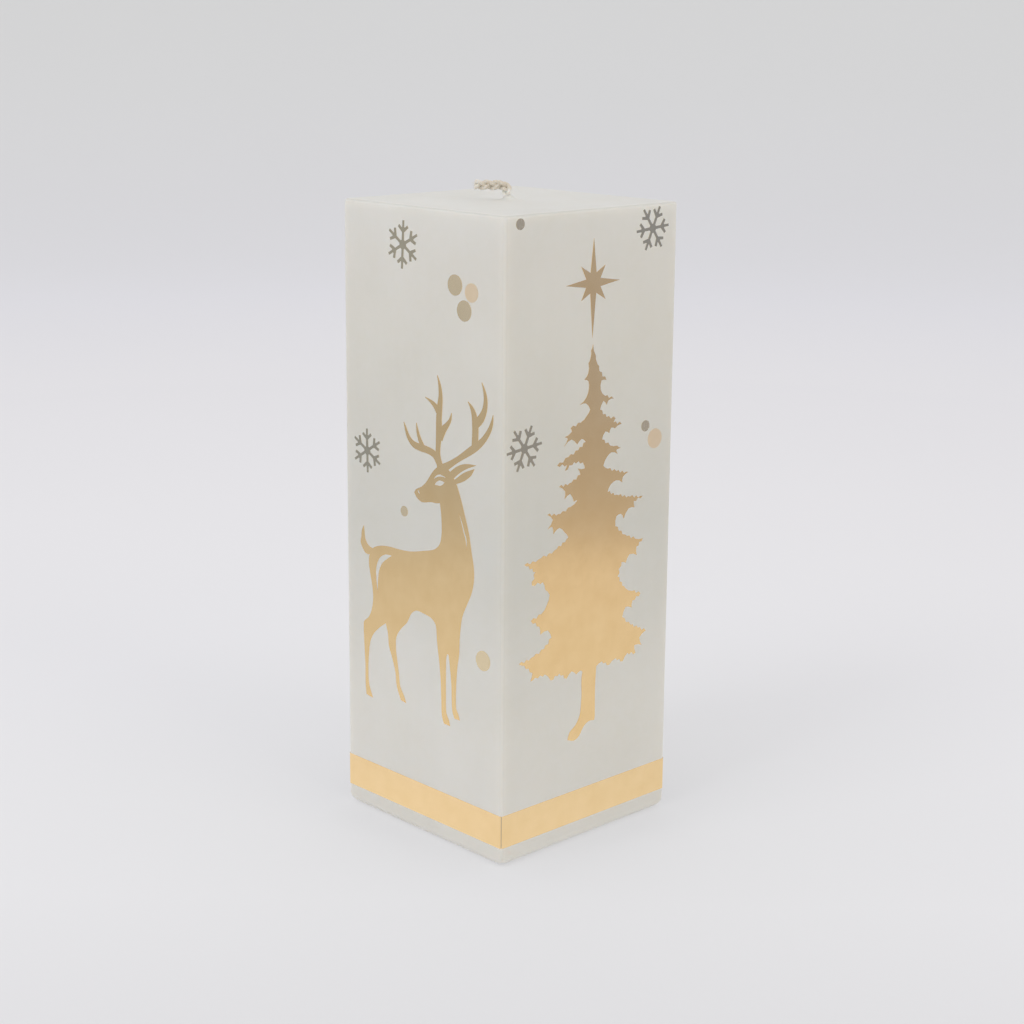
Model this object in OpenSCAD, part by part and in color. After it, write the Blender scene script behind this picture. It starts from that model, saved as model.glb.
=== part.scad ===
// Square pillar candle with gold foil decoration: a reindeer on the front and back faces,
// a spruce under a star on the two side faces, snowflakes, dots and a band of foil strips.
// Millimetres, +Z up. The origin is the middle of the base. The front face looks along -Y.

/* [Wax block] */
// Side of the square block
body_w = 70; // [60:1:80]
// Height of the block
body_h = 190; // [180:5:220]
// Radius of the four upright edges
edge_r = 1; // [0.8:0.2:3]
// Radius of the eased edge round the foot
foot_r = 3; // [2:0.5:4]
// Radius of the eased edge round the top
top_r = 0.8; // [0.4:0.2:1.6]

/* [Wick] */
// Thickness of the braided wick
wick_d = 2.6; // [2:0.2:3]
// Height of the bent tip's centre line above the wax
wick_rise = 4; // [3:0.2:6]
// Length of the straight tip after the bend
wick_tip = 8.4; // [5:0.2:12]
// Compass turn of the tip, counted from +X towards +Y
wick_turn = 226; // [0:1:359]

/* [Sustainer] */
// Diameter of the metal disc that holds the wick's foot
disc_d = 21; // [16:1:26]
// Thickness of its sheet metal
disc_t = 0.4; // [0.3:0.1:0.6]
// Height of its crimped neck above the disc
neck_h = 6; // [4:1:10]

/* [Foil] */
// Thickness of the foil
foil_t = 0.15; // [0.1:0.05:0.3]
// Height of the lower edge of the band
band_z = 6.2; // [4:0.1:12]
// Width of the band
band_h = 10; // [5:1:15]
// Gap between two band strips at an upright edge
band_gap = 0.15; // [0.1:0.05:0.6]
// Radius of the two large dots on every face
dot_r = 3; // [2:0.1:4]
// Radius of the small dots
small_dot_r = 1.6; // [1:0.1:2]
// Radius of the snowflakes
flake_r = 7; // [5:0.2:8]
// Height of the reindeer's hooves
deer_foot = 37.2; // [30:0.2:40]
// Height of the foot of the spruce's trunk
tree_foot = 37.2; // [30:0.2:40]
// Height of the middle of the star
star_z = 168.9; // [167:0.1:172]

/* [Hidden] */
$fn = 48;

// Turns of the four faces about the upright axis
FRONT = 0;
RIGHT = 90;
BACK = 180;
LEFT = 270;

// The decoration is drawn for a face 70 wide and 190 high and scaled to the block
ART_W = 70;
ART_H = 190;
art_k = min(body_w / ART_W, body_h / ART_H);
centre_x = ART_W / 2;

// Longest step along a drawn curve, and how far the cut runs outside the drawn line
CURVE_STEP = 1.2;
CUT_MARGIN = 0.02;
// How far a shape runs into the next one, or a cut past the face that it opens
OVERLAP = 1;
FOIL_COLOUR = [0.84, 0.68, 0.40];

// Radius of the wick's bend, its clearance in the bore, the disc's clearance in its recess,
// the recess's depth, and the wall of the sustainer's neck
bend_r = 2;
wick_gap = 0.02;
recess_gap = 1;
recess_h = 1;
neck_wall = 0.4;
neck_d = wick_d + 2 * (wick_gap + neck_wall);
disc_z = recess_h - disc_t;
bore_d = wick_d + 2 * wick_gap;

// Places of the dots: distance from the face's left edge, height, radius
DEER_DOTS = [
    [49.7, 169.2, dot_r],
    [53.6, 162.3, dot_r],
    [56.6, 167.7, dot_r - 0.3],
    [27.4, 99.6, small_dot_r],
    [62, 61.7, dot_r]
];
TREE_DOTS = [
    [5.6, 187.5, small_dot_r],
    [57.8, 124.1, small_dot_r + 0.1],
    [62.1, 119.7, dot_r]
];

// Places of the snowflakes: distance from the face's left edge, height, turn, radius
DEER_FLAKES = [
    [27.2, 178.6, 87, flake_r],
    [10.4, 115.2, 91, flake_r - 0.3]
];
TREE_FLAKES = [
    [59.1, 182.8, 5, flake_r - 0.2],
    [7.9, 124.4, 6, flake_r - 0.2]
];

// Star: length of its rays, counted anticlockwise from the one to the right, radius of the
// notches between them, and how far its middle stands to the left of the face's middle
STAR_RAYS = [10.8, 6.8, 12.6, 7, 11, 6.7, 15.6, 7.1];
STAR_CORE = 3.1;
STAR_LEFT = 0.4;

// Snowflake, in parts of its radius: hub, width of an arm, place and length of the side twigs,
// then the inner end, widest place, half-width and outer end of the leaf on an arm
FLAKE_HUB = 0.2;
FLAKE_ARM = 0.13;
FLAKE_FORK = 0.54;
FLAKE_TWIG = 0.36;
FLAKE_TWIG_TURN = 52;
FLAKE_LEAF = [0.4, 0.68, 0.12, 0.76];

// Reindeer, from the face's left edge and above the hooves. Each row is one smooth stretch
// between two corners: muzzle, throat and back, tail end, hind leg, inner hind leg, forelegs, chest
DEER_BODY = [
    [[32, 69], [32.9, 67.9], [34.4, 66.9], [36.2, 66.7], [39.4, 67.4], [41.6, 67.5]],
    [[43.4, 67.8], [44, 63.8], [44.1, 59], [43.3, 55.6], [41, 53.5], [36, 52], [30, 50.6],
     [25, 50.2], [20, 50.1], [16, 49.5], [13, 48.3], [11.3, 46.2], [10.8, 43.6], [11.4, 40],
     [12.4, 36], [12.7, 32.4], [12.1, 29], [10.6, 26], [8.4, 24.2]],
    [[8, 23.3], [8.1, 20], [8.4, 15], [8.7, 10.5], [8.7, 5.2]],
    [[9.1, 0.7]],
    [[12.1, 0.3], [11.1, 2.2], [10.2, 4.7], [10, 9], [10.3, 14], [11, 18], [12.5, 20.8], [15, 23.2]],
    [[18.6, 25.8], [19.6, 22.7], [20, 19], [21.5, 15.5], [23, 11.3], [23.6, 7]],
    [[25.5, 3]],
    [[27.8, 2.7], [26.9, 4.6], [25.1, 7.3], [24.5, 11], [23.8, 15], [23.2, 18.5], [23.4, 22.5],
     [25.6, 25.6], [28.4, 28.2], [30.5, 31.6], [33, 33], [36, 32.8], [39.5, 32.2], [41.4, 30.7]],
    [[41.8, 29], [42.2, 24.7], [43, 20], [43.7, 14], [44, 7.5], [44.2, 3.4]],
    [[45.1, 0.9]],
    [[47.7, 0.8], [47.3, 2.4], [46.1, 4.4], [45.9, 10], [45.9, 16], [46, 21], [46.5, 22.8]],
    [[47.2, 22.6], [47.8, 19], [48.4, 14], [48.6, 8.5], [49, 5.4]],
    [[49.8, 3.7]],
    [[52, 3.7], [51.4, 5.4], [50.4, 7], [50.4, 13], [50.9, 19.5], [51.7, 24], [52, 29.5],
     [53, 35.5], [54.9, 39.5], [57, 43.6], [58, 48], [57.8, 52], [57, 55.5], [56.2, 59.5],
     [55.2, 63], [53.9, 66.5], [52.2, 71], [50.2, 75], [47.5, 78], [44.5, 79.2], [42.5, 78.5],
     [40.8, 77.2], [39.2, 75.4], [37.4, 73.1], [35.1, 71.2], [32.8, 70.1]]
];
DEER_TAIL = [
    [[8.4, 54.4], [7.5, 52.6], [7.3, 50.6], [6.9, 49], [7.8, 47.3], [9.2, 45.9], [10.8, 45.8], [12.4, 46.2]],
    [[13.4, 48], [11.4, 48.2], [9.9, 49.1], [8.9, 50.8], [8.7, 52.6]]
];
// Strips with a width at every point: ears and the beams and tines of the two antlers
DEER_STRIPS = [
    [[46.8, 75.6, 2.4], [49.2, 77.6, 2.2], [51.8, 79.4, 2], [54.8, 80.7, 1.4], [58.7, 81.6, 0.1]],
    [[47.6, 74, 1.6], [49.8, 75.2, 1.3], [52, 76.4, 1.9], [54.2, 77.7, 2.1], [56.3, 79, 1.5],
     [58, 80.4, 0.1]],
    [[43.4, 79, 2.4], [41.2, 81.7, 2.2], [38.4, 82.6, 2.1], [35, 82.9, 2.2], [31.8, 83.4, 1.9],
     [29.6, 85, 1.4], [28.3, 87.3, 0.9], [27.4, 89.4, 0.1]],
    [[35.8, 83.2, 1.8], [34.4, 85.4, 1.4], [33.5, 87.6, 0.9], [33, 90, 0.1]],
    [[43.4, 78.6, 2.6], [42.5, 82, 1.9], [42.6, 85, 2], [43, 89, 2.6], [42.9, 92.4, 2.3],
     [43.2, 96, 2.2], [43.6, 99.4, 1.6], [43.2, 102.6, 1], [42.2, 105.3, 0.1]],
    [[43, 94.4, 2.2], [41.4, 96.1, 1.7], [39.6, 97.2, 1], [36.9, 98.2, 0.1]],
    [[43.2, 87, 2.6], [44.9, 89.8, 2.2], [46.9, 91.9, 1.4], [47.9, 93.4, 0.9], [48.3, 95.2, 0.1]],
    [[44.8, 78.4, 2.6], [47.6, 80, 2], [50.4, 81.7, 1.7], [53.5, 83.6, 1.9], [56.8, 85.7, 2.3],
     [59.8, 87.7, 2.1], [62.1, 89.8, 1.8], [64.1, 92.4, 1.5], [65.2, 94.8, 1], [65.7, 97.2, 0.1]],
    [[58.2, 86.8, 2.6], [58.4, 90.8, 2.5], [58.3, 94.2, 2.5], [57.7, 96.4, 1.9], [56.7, 98.1, 1.1],
     [55.3, 99.5, 0.1]],
    [[58.5, 93.4, 2.6], [60.7, 95.4, 2.5], [62.2, 98.1, 1.9], [62.6, 101, 1.4], [62.1, 103.4, 0.9],
     [61, 105.8, 0.1]]
];
// Strips left open in the foil: eye, brow, nostril, neck and flank
DEER_OPENINGS = [
    [[41, 72.9, 0.1], [42, 73.4, 1], [43.4, 73.8, 1.6], [44.5, 74.1, 1], [45.3, 74.3, 0.1]],
    [[40.6, 74.5, 0.1], [41.8, 75.5, 0.5], [43.6, 76.1, 0.6], [45.9, 75.8, 0.1]],
    [[33.3, 70, 0.1], [33.9, 69.5, 0.7], [34.5, 68.9, 0.1]],
    [[51.5, 66.3, 0.1], [52.6, 64, 0.5], [53.6, 61.4, 0.6], [54.6, 59, 0.6], [55, 56.3, 0.1]],
    [[21.4, 47.5, 0.2], [18.8, 46.6, 1.5], [16.3, 44.8, 1.9], [14.9, 42, 1.6], [14.6, 38.6, 1],
     [14.8, 34.6, 0.1]]
];

// Spruce, from the trunk's middle line and above its foot: tips and notches in turn, from the
// top down the right side, then from the foot up the left side
TREE_RIGHT = [
    [-0.1, 113.8], [1, 110.6], [1.5, 108.6], [2.5, 107.3], [2.7, 105.8], [5.6, 102.9], [3.6, 103],
    [3.3, 100.2], [5.2, 98.2], [8.8, 97], [6.8, 96.8], [6, 95.5], [4.6, 96.9], [3.2, 94.4],
    [6, 91.8], [9.8, 91], [9, 89.8], [12.4, 89], [9.6, 88], [8, 88.4], [7.3, 86.9], [5.6, 87.6],
    [4.2, 85.4], [7.6, 83.2], [10.8, 82.6], [12.3, 81.7], [10.4, 81.4], [11, 80.1], [8.4, 81],
    [6.4, 79.8], [5, 77.4], [7, 76.2], [10.6, 74.9], [15.7, 73.9], [13.4, 72.7], [13.2, 71.2],
    [10.6, 72.2], [8.2, 71.2], [7, 69.2], [11.8, 67.4], [16.8, 66.2], [22.2, 65.5], [18.4, 64.6],
    [18.8, 62.6], [16.2, 62.7], [14.2, 60], [13, 61.6], [11, 61.2], [10.6, 58.2], [15.8, 54.2],
    [19.4, 52.8], [22.7, 52.3], [20, 50.2], [20.2, 47.6], [17, 48.4], [15.4, 46], [13.6, 46.6],
    [12, 42.4], [15.6, 38], [18.6, 36.6], [22.2, 35.1], [18.8, 33.6], [18.4, 31.4], [15.8, 32.2],
    [14.4, 29.2], [18.2, 26], [21.4, 24.4], [25, 22.8], [22.2, 21.2], [23.2, 18.6], [20, 19.2],
    [20.6, 16.6], [17, 17.4], [15, 15.2], [12, 16.9], [9, 15.4], [6, 17.2], [3.5, 16.2]
];
TREE_LEFT = [
    [-1.7, 14.8], [-3, 16.4], [-5, 15.6], [-7, 17], [-9, 15.2], [-12, 17.6], [-15.6, 16.2],
    [-18, 18.6], [-23.8, 17.8], [-23, 20.2], [-28.4, 24], [-22.6, 25], [-18.4, 26.4], [-15.4, 29.2],
    [-17, 31.8], [-20, 31.2], [-20.4, 33.6], [-23.8, 36], [-19.6, 37.2], [-17.4, 39.6],
    [-16.4, 42.4], [-18.2, 44.2], [-19.2, 46.8], [-23.6, 46.6], [-22.2, 50.4], [-26.6, 53.2],
    [-20, 54], [-13.6, 55.6], [-9, 58.2], [-10.6, 60], [-12.8, 61.8], [-15.2, 60.4], [-15.6, 62.6],
    [-17.4, 62.2], [-15.4, 64.6], [-17.7, 66.4], [-12.4, 65.8], [-8.2, 67.2], [-5.4, 68.8],
    [-7, 68.6], [-8.6, 71.2], [-10.8, 70], [-10.6, 72.2], [-13.1, 73.9], [-8, 74.4], [-4.4, 76.2],
    [-5.6, 78.2], [-2.6, 77.8], [-3.6, 79.8], [-7.2, 80.4], [-10.8, 78.4], [-10, 80], [-14, 80.3],
    [-9.4, 82.2], [-5.4, 83.6], [-2.4, 85.6], [-4.2, 86.8], [-6, 85.4], [-8.4, 87.2],
    [-11.1, 85.7], [-9.8, 87.6], [-11.1, 88.2], [-8.2, 89.4], [-8.7, 90.5], [-4.6, 91.6],
    [-2, 93.4], [-0.8, 95], [-2.6, 97], [-5, 96.9], [-2.4, 98.8], [-1.5, 101.2], [-1.7, 103.4],
    [-3.4, 104], [-1.8, 105.8], [-1.8, 108.6], [-0.9, 110.4], [-0.8, 112.2]
];
// Rows: trunk's right side, foot, root that sweeps out to the left, trunk's left side
TRUNK = [
    [[3.5, 17], [3.1, 9], [3.2, 0.6]],
    [[3, -0.6], [0.6, -0.4], [-1.6, -1.6], [-3.4, -4], [-5.6, -5]],
    [[-8.2, -4.2], [-7.4, -2], [-5, -0.4], [-3.2, 2.4], [-2.6, 7], [-1.7, 17]]
];
// Depth of the hollow in the edge from a tip to a notch. Needles along a long edge: distance from
// one to the next, longest, how much of that length varies, and the turn that varies it
BOUGH_HOLLOW = 0.08;
NEEDLE_PITCH = 1.7;
NEEDLE_L = 0.7;
NEEDLE_CHANGE = 0.4;
NEEDLE_TURN = 137;

// ---- Curves ----

function flat(p) = [p[0], p[1]];
function chord(a, b) = norm(flat(b) - flat(a));
function heading(a, b) = (b - a) / chord(a, b);
function unit_normal(a, b) = [-heading(a, b)[1], heading(a, b)[0]];
function hermite(a, b, da, db, t) =
    a * (2 * t ^ 3 - 3 * t ^ 2 + 1) + da * (t ^ 3 - 2 * t ^ 2 + t)
    + b * (3 * t ^ 2 - 2 * t ^ 3) + db * (t ^ 3 - t ^ 2);

// A smooth curve through points; a third number at each point, such as a width, is blended too
function curve(p) = [
    for (i = [0 : len(p) - 2])
        let (
            a = p[i],
            b = p[i + 1],
            span = chord(a, b),
            da = heading(p[max(i - 1, 0)], b) * span,
            db = heading(a, p[min(i + 2, len(p) - 1)]) * span,
            steps = max(2, ceil(span / CURVE_STEP))
        )
        for (k = [0 : steps - 1]) hermite(a, b, da, db, k / steps),
    p[len(p) - 1]
];

// A closed outline: smooth along each row, with a corner at the start of each row
function outline(rows) = [
    for (i = [0 : len(rows) - 1])
        let (whole = curve(concat(rows[i], [rows[(i + 1) % len(rows)][0]])))
        for (k = [0 : len(whole) - 2]) whole[k]
];

// A strip along a curve, as wide at each point as the point's third number
function strip_side(c, i, side) =
    flat(c[i]) + side * c[i][2] / 2 * unit_normal(c[max(i - 1, 0)], c[min(i + 1, len(c) - 1)]);
function strip(p) =
    let (c = curve(p), last = len(c) - 1)
    concat(
        [for (i = [0 : last]) strip_side(c, i, 1)],
        [for (i = [last : -1 : 0]) strip_side(c, i, -1)]
    );

// Length of a needle: it changes from one needle to the next
function needle(i) = NEEDLE_L * (1 - NEEDLE_CHANGE * (1 - sin(NEEDLE_TURN * i)));

// One edge of a bough, from a to b: hollow in the middle, with needles where it is long
function bough_edge(a, b) =
    let (
        inward = -unit_normal(a, b),
        span = norm(b - a),
        needles = floor(span / NEEDLE_PITCH),
        steps = max(2, 2 * needles)
    )
    [
        for (k = [0 : steps - 1])
            let (t = k / steps, tooth = (k % 2 == 1 && needles > 1) ? needle(k) : 0)
            a + (b - a) * t + inward * (BOUGH_HOLLOW * span * 4 * t * (1 - t) - tooth)
    ];
function boughs(p) = [
    for (i = [0 : len(p) - 1])
        each bough_edge(p[i], p[(i + 1) % len(p)])
];

// A ray's tip where i is even and the notch after it where i is odd
function star_point(i) =
    let (turn = 180 / len(STAR_RAYS) * i, reach = i % 2 == 0 ? STAR_RAYS[i / 2] : STAR_CORE)
    reach * [cos(turn), sin(turn)];

// ---- Flat shapes ----

module rounded_square(w, r) {
    square([w - 2 * r, w], center = true);
    square([w, w - 2 * r], center = true);
    for (x = [-1, 1], y = [-1, 1])
        translate([x, y] * (w / 2 - r)) circle(r);
}

// The block seen from the side, with its eased foot and top
module side_view() {
    half = body_w / 2;
    translate([-half, foot_r]) square([body_w, body_h - foot_r - top_r]);
    translate([foot_r - half, 0]) square([body_w - 2 * foot_r, foot_r + OVERLAP]);
    translate([top_r - half, body_h - top_r - OVERLAP]) square([body_w - 2 * top_r, top_r + OVERLAP]);
    for (side = [-1, 1]) {
        translate([side * (half - foot_r), foot_r]) circle(foot_r);
        translate([side * (half - top_r), body_h - top_r]) circle(top_r);
    }
}

// Joins overlapping shapes into one cut outline
module die_cut() {
    offset(delta = CUT_MARGIN) children();
}

module reindeer_shape() {
    difference() {
        union() {
            polygon(outline(DEER_BODY));
            polygon(outline(DEER_TAIL));
            for (p = DEER_STRIPS) polygon(strip(p));
        }
        for (p = DEER_OPENINGS) polygon(strip(p));
    }
}

module spruce_shape() {
    polygon(boughs(concat(TREE_RIGHT, TREE_LEFT)));
    polygon(outline(TRUNK));
}

module star_shape() {
    polygon([for (i = [0 : 2 * len(STAR_RAYS) - 1]) star_point(i)]);
}

// Six arms, each with two side twigs and a small leaf
module snowflake_shape(r) {
    arm = FLAKE_ARM * r;
    leaf = FLAKE_LEAF * r;
    circle(FLAKE_HUB * r, $fn = 18);
    for (turn = [0 : 60 : 300])
        rotate(turn) {
            tapered_bar(r, arm, 0.8 * arm);
            for (side = [-1, 1])
                translate([FLAKE_FORK * r, 0])
                    rotate(side * FLAKE_TWIG_TURN)
                        tapered_bar(FLAKE_TWIG * r, arm, 0.9 * arm);
            polygon([[leaf[0], 0], [leaf[1], leaf[2]], [leaf[3], 0], [leaf[1], -leaf[2]]]);
        }
}

module tapered_bar(reach, start_w, end_w) {
    polygon([[0, -start_w / 2], [reach, -end_w / 2], [reach, end_w / 2], [0, start_w / 2]]);
}

// ---- Foil pieces ----

// Turns a flat shape into foil on one face: x from the face's left edge, y above the foot
module foil(turn) {
    color(FOIL_COLOUR)
        rotate([0, 0, turn])
            translate([0, -body_w / 2, 0])
                rotate([90, 0, 0])
                    linear_extrude(foil_t)
                        die_cut()
                            scale(art_k) translate([-centre_x, 0]) children();
}

module reindeer(turn) {
    foil(turn) translate([0, deer_foot]) reindeer_shape();
}

module spruce(turn) {
    foil(turn) translate([centre_x, tree_foot]) spruce_shape();
}

module star(turn) {
    foil(turn) translate([centre_x - STAR_LEFT, star_z]) star_shape();
}

module snowflake(turn, place) {
    foil(turn) translate([place[0], place[1]]) rotate(place[2]) snowflake_shape(place[3]);
}

module dot(turn, place) {
    color(FOIL_COLOUR)
        rotate([0, 0, turn])
            translate([(place[0] - centre_x) * art_k, -body_w / 2, place[1] * art_k])
                rotate([90, 0, 0])
                    cylinder(r = place[2] * art_k, h = foil_t);
}

// One strip of the band: a face and half of the upright edge on each side of it
module band(turn) {
    reach = body_w;
    color(FOIL_COLOUR)
        rotate([0, 0, turn])
            translate([0, 0, band_z])
                linear_extrude(band_h)
                    intersection() {
                        difference() {
                            rounded_square(body_w + 2 * foil_t, edge_r + foil_t);
                            rounded_square(body_w, edge_r);
                        }
                        translate([0, -band_gap / sqrt(2)])
                            polygon([[0, 0], [-reach, -reach], [reach, -reach]]);
                    }
}

// ---- Wax, wick and sustainer ----

module candle_body() {
    color([0.93, 0.92, 0.88])
        difference() {
            intersection() {
                linear_extrude(body_h) rounded_square(body_w, edge_r);
                rotate([90, 0, 0]) linear_extrude(body_w, center = true) side_view();
                rotate([90, 0, 90]) linear_extrude(body_w, center = true) side_view();
            }
            translate([0, 0, -OVERLAP]) cylinder(d = bore_d, h = body_h + 2 * OVERLAP);
            translate([0, 0, -OVERLAP]) cylinder(d = disc_d + recess_gap, h = recess_h + OVERLAP);
            cylinder(d = neck_d, h = recess_h + neck_h);
        }
}

// Runs up the middle of the block, bends over above the wax and ends in a cut tip
module wick() {
    bend_z = body_h + wick_rise - bend_r;
    color([0.90, 0.86, 0.76]) {
        translate([0, 0, disc_z]) cylinder(d = wick_d, h = bend_z - disc_z);
        translate([0, 0, bend_z])
            rotate([0, 0, wick_turn]) {
                translate([bend_r, 0, 0])
                    rotate([90, 0, 0])
                        rotate([0, 0, 90])
                            rotate_extrude(angle = 90) translate([bend_r, 0]) circle(d = wick_d);
                translate([bend_r, 0, bend_r]) rotate([0, 90, 0]) cylinder(d = wick_d, h = wick_tip);
            }
    }
}

// Pressed disc with a neck that grips the wick
module wick_sustainer() {
    color("silver")
        difference() {
            union() {
                translate([0, 0, disc_z]) cylinder(d = disc_d, h = disc_t);
                translate([0, 0, disc_z]) cylinder(d = neck_d, h = disc_t + neck_h);
            }
            cylinder(d = bore_d, h = recess_h + neck_h + OVERLAP);
        }
}

candle_body();
wick();
wick_sustainer();
band(FRONT);  // band_front
band(RIGHT);  // band_right
band(BACK);  // band_back
band(LEFT);  // band_left
reindeer(FRONT);  // reindeer_front
reindeer(BACK);  // reindeer_back
spruce(RIGHT);  // spruce_right
spruce(LEFT);  // spruce_left
star(RIGHT);  // star_right
star(LEFT);  // star_left
snowflake(FRONT, DEER_FLAKES[0]);  // snowflake_front_upper
snowflake(FRONT, DEER_FLAKES[1]);  // snowflake_front_lower
snowflake(RIGHT, TREE_FLAKES[0]);  // snowflake_right_upper
snowflake(RIGHT, TREE_FLAKES[1]);  // snowflake_right_lower
snowflake(BACK, DEER_FLAKES[0]);  // snowflake_back_upper
snowflake(BACK, DEER_FLAKES[1]);  // snowflake_back_lower
snowflake(LEFT, TREE_FLAKES[0]);  // snowflake_left_upper
snowflake(LEFT, TREE_FLAKES[1]);  // snowflake_left_lower
dot(FRONT, DEER_DOTS[0]);  // dot_front_1
dot(FRONT, DEER_DOTS[1]);  // dot_front_2
dot(FRONT, DEER_DOTS[2]);  // dot_front_3
dot(FRONT, DEER_DOTS[3]);  // dot_front_4
dot(FRONT, DEER_DOTS[4]);  // dot_front_5
dot(RIGHT, TREE_DOTS[0]);  // dot_right_1
dot(RIGHT, TREE_DOTS[1]);  // dot_right_2
dot(RIGHT, TREE_DOTS[2]);  // dot_right_3
dot(BACK, DEER_DOTS[0]);  // dot_back_1
dot(BACK, DEER_DOTS[1]);  // dot_back_2
dot(BACK, DEER_DOTS[2]);  // dot_back_3
dot(BACK, DEER_DOTS[3]);  // dot_back_4
dot(BACK, DEER_DOTS[4]);  // dot_back_5
dot(LEFT, TREE_DOTS[0]);  // dot_left_1
dot(LEFT, TREE_DOTS[1]);  // dot_left_2
dot(LEFT, TREE_DOTS[2]);  // dot_left_3
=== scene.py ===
"""Looks of the square pillar candle with gold foil decoration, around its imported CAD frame. Metres."""

import math
import random

import bpy
from mathutils import Matrix, Vector, noise


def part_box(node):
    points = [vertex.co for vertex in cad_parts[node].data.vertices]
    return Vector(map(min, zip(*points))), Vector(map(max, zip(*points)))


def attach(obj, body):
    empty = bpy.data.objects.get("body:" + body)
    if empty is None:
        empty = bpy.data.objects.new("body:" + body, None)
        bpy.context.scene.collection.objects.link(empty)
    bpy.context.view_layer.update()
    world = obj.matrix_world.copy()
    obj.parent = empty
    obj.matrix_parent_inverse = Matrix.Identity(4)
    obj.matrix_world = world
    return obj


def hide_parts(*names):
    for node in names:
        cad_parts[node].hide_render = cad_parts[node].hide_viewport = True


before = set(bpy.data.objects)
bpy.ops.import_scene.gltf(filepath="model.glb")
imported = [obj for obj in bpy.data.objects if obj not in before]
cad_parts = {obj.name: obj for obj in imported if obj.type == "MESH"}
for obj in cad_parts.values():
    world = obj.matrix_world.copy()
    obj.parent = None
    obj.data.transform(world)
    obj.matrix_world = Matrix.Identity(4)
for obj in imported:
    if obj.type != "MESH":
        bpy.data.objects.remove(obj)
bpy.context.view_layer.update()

MM = 0.001
ROOT = "root"
TURN = 2 * math.pi

# ---- Measures, from the frame ----

wax_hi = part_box("candle_body")[1]
wick_lo, wick_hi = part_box("wick")
disc_lo, disc_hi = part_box("wick_sustainer")
band_lo, band_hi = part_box("band_front")
HALF = wax_hi.x
HEIGHT = wax_hi.z
WICK_FOOT = wick_lo.z
WICK_RADIUS = wick_hi.x
BORE_RADIUS = WICK_RADIUS + 0.02 * MM
NECK_RADIUS = WICK_RADIUS + 0.42 * MM
RECESS_RADIUS = disc_hi.x + 0.5 * MM
RECESS_DEPTH = 1.0 * MM

# The wick's free tip: its compass direction and how far it reaches from the middle
WICK_HEADING = math.radians(226)
WICK_WAY = Vector((math.cos(WICK_HEADING), math.sin(WICK_HEADING), 0))
TIP_REACH = 10.6 * MM

# Radii of the block's upright, foot and top edges
EDGE_RADIUS = 1.0 * MM
FOOT_RADIUS = 3.0 * MM
TOP_RADIUS = 0.8 * MM
# Distance of an upright edge from the upright axis
EDGE_REACH = math.sqrt(2) * (HALF - EDGE_RADIUS) + EDGE_RADIUS

# ---- Small helpers ----


def smooth(t):
    """0 to 1 with soft ends."""
    t = min(1.0, max(0.0, t))
    return t * t * (3 - 2 * t)


def circle_points(radius, z, around):
    """Points round a circle about the upright axis."""
    points = []
    for i in range(around):
        a = TURN * i / around
        points.append(Vector((radius * math.cos(a), radius * math.sin(a), z)))
    return points


def make_object(name, points, faces, smooth_angle=None):
    """A mesh object at the origin, shaded smooth except at edges sharper than smooth_angle."""
    mesh = bpy.data.meshes.new(name)
    mesh.from_pydata([tuple(p) for p in points], [], faces)
    mesh.validate()
    made = bpy.data.objects.new(name, mesh)
    bpy.context.scene.collection.objects.link(made)
    if smooth_angle is not None:
        mesh.shade_smooth()
        mesh.set_sharp_from_angle(angle=smooth_angle)
    return made


def ring_faces(rings, around, closed):
    """Quads between rings that each have the same number of points; closed joins the last to the first."""
    faces = []
    for j in range(rings if closed else rings - 1):
        here = j * around
        there = ((j + 1) % rings) * around
        for i in range(around):
            nxt = (i + 1) % around
            faces.append((here + i, here + nxt, there + nxt, there + i))
    return faces


def rgb(r, g, b):
    return (r, g, b, 1.0)


BLACK = rgb(0, 0, 0)


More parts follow.
